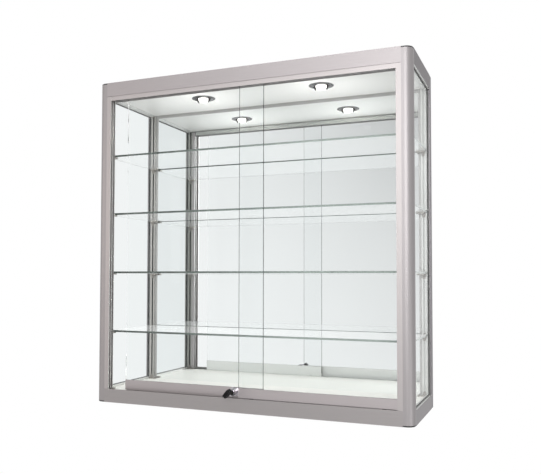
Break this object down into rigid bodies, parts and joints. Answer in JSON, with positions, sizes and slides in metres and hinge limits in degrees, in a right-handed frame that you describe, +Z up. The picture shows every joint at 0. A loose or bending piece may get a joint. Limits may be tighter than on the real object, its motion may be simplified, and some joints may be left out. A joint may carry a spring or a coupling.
{
  "type": "wall-mounted display case",
  "caption": "Wall-hung glazed cabinet with aluminium frame, mirror back, sliding glass doors on rollers, clip-held glass shelves, push lock with key and ceiling downlights",
  "frame": {"origin": "on the wall plane, at the middle of the four wall screw holes", "axes": "X to the right along the wall, Y into the wall, Z up"},
  "size_m": [1, 0.3885, 1.02],
  "materials": {
    "satin_aluminium": "satin silver anodised extrusion",
    "clear_glass": "clear float glass, polished edges",
    "mirror_glass": "silvered mirror glass",
    "white_board": "white faced board",
    "brown_board": "plain hardboard",
    "black_plastic": "black moulded plastic",
    "black_rubber": "black extruded rubber",
    "clip_plastic": "grey moulded plastic",
    "nylon": "natural nylon",
    "steel": "plain steel",
    "chrome": "bright chrome plate",
    "frosted_lens": "frosted, lit from behind",
    "painted_cover": "grey painted sheet",
    "white_plastic": "white moulded plastic"
  },
  "bodies": {
    "cabinet": {"front_left_post": "satin_aluminium", "front_right_post": "satin_aluminium", "rear_left_post": "satin_aluminium", "rear_right_post": "satin_aluminium", "top_front_rail": "satin_aluminium", "base_front_rail": "satin_aluminium", "left_top_rail": "satin_aluminium", "right_top_rail": "satin_aluminium", "left_base_rail": "satin_aluminium", "right_base_rail": "satin_aluminium", "top_rear_rail": "satin_aluminium", "base_rear_rail": "satin_aluminium", "top_track": "satin_aluminium", "base_track": "satin_aluminium", "left_jamb": "satin_aluminium", "right_jamb": "satin_aluminium", "mirror_channels": "satin_aluminium", "lamp_housings": "satin_aluminium", "left_side_glass": "clear_glass", "right_side_glass": "clear_glass", "mirror": "mirror_glass", "ceiling_panel": "white_board", "floor_panel": "white_board", "back_board": "brown_board", "post_end_caps": "black_plastic", "track_liners": "black_plastic", "lamp_leads": "black_plastic", "side_gaskets": "black_rubber", "cable_grommet": "black_rubber", "floor_clips": "clip_plastic", "corner_angles": "steel", "lamp_bezels": "chrome", "lamp_lenses": "frosted_lens", "top_cover": "painted_cover", "lamp_driver": "white_plastic"},
    "left_door": {"left_door_glass": "clear_glass", "left_door_shoe": "satin_aluminium", "left_door_axles": "steel", "lock_keeper": "steel"},
    "right_door": {"right_door_glass": "clear_glass", "right_door_shoe": "satin_aluminium", "right_door_axles": "steel", "lock_bracket": "satin_aluminium", "lock_barrel": "chrome"},
    "lock_plunger": {"lock_plunger": "chrome"},
    "lock_core": {"lock_core": "steel"},
    "key": {"key_blade": "steel", "key_bow": "black_plastic"},
    "left_door_left_roller": {"left_door_left_roller": "nylon"},
    "left_door_right_roller": {"left_door_right_roller": "nylon"},
    "right_door_left_roller": {"right_door_left_roller": "nylon"},
    "right_door_right_roller": {"right_door_right_roller": "nylon"},
    "shelf_1": {"shelf_1": "clear_glass", "shelf_1_clips": "clip_plastic"},
    "shelf_2": {"shelf_2": "clear_glass", "shelf_2_clips": "clip_plastic"},
    "shelf_3": {"shelf_3": "clear_glass", "shelf_3_clips": "clip_plastic"},
    "shelf_4": {"shelf_4": "clear_glass", "shelf_4_clips": "clip_plastic"}
  },
  "joints": [
    {"name": "left_door_slide", "type": "slide", "parent": "cabinet", "child": "left_door", "axis": [1, 0, 0], "range_m": [-0.056, 0.395]},
    {"name": "right_door_slide", "type": "slide", "parent": "cabinet", "child": "right_door", "axis": [1, 0, 0], "range_m": [-0.42, 0]},
    {"name": "left_door_left_roller_spin", "type": "hinge", "parent": "left_door", "child": "left_door_left_roller", "pos_m": [-0.363, -0.3125, -0.4715], "axis": [0, 1, 0], "range_deg": [-642, 4527]},
    {"name": "left_door_right_roller_spin", "type": "hinge", "parent": "left_door", "child": "left_door_right_roller", "pos_m": [0.024, -0.3125, -0.4715], "axis": [0, 1, 0], "range_deg": [-642, 4527]},
    {"name": "right_door_left_roller_spin", "type": "hinge", "parent": "right_door", "child": "right_door_left_roller", "pos_m": [0.032, -0.3255, -0.4715], "axis": [0, 1, 0], "range_deg": [-4813, 0]},
    {"name": "right_door_right_roller_spin", "type": "hinge", "parent": "right_door", "child": "right_door_right_roller", "pos_m": [0.419, -0.3255, -0.4715], "axis": [0, 1, 0], "range_deg": [-4813, 0]},
    {"name": "shelf_1_height", "type": "slide", "parent": "cabinet", "child": "shelf_1", "axis": [0, 0, 1], "range_m": [-0.08, 0.08]},
    {"name": "shelf_2_height", "type": "slide", "parent": "cabinet", "child": "shelf_2", "axis": [0, 0, 1], "range_m": [-0.08, 0.08]},
    {"name": "shelf_3_height", "type": "slide", "parent": "cabinet", "child": "shelf_3", "axis": [0, 0, 1], "range_m": [-0.08, 0.08]},
    {"name": "shelf_4_height", "type": "slide", "parent": "cabinet", "child": "shelf_4", "axis": [0, 0, 1], "range_m": [-0.08, 0.08]},
    {"name": "lock_push", "type": "slide", "parent": "right_door", "child": "lock_plunger", "axis": [0, 1, 0], "range_m": [0, 0.008], "stiffness_N_per_m": 300, "springref_m": -0.004},
    {"name": "lock_turn", "type": "hinge", "parent": "lock_plunger", "child": "lock_core", "pos_m": [-0.0218, -0.3515, -0.449], "axis": [0, 1, 0], "range_deg": [0, 90]},
    {"name": "key_withdraw", "type": "slide", "parent": "lock_core", "child": "key", "axis": [0, -1, 0], "range_m": [0, 0.028]}
  ],
  "couplings": [
    {"joint": "left_door_left_roller_spin", "follows": "left_door_slide", "rad_per_m": 200},
    {"joint": "left_door_right_roller_spin", "follows": "left_door_slide", "rad_per_m": 200},
    {"joint": "right_door_left_roller_spin", "follows": "right_door_slide", "rad_per_m": 200},
    {"joint": "right_door_right_roller_spin", "follows": "right_door_slide", "rad_per_m": 200}
  ]
}
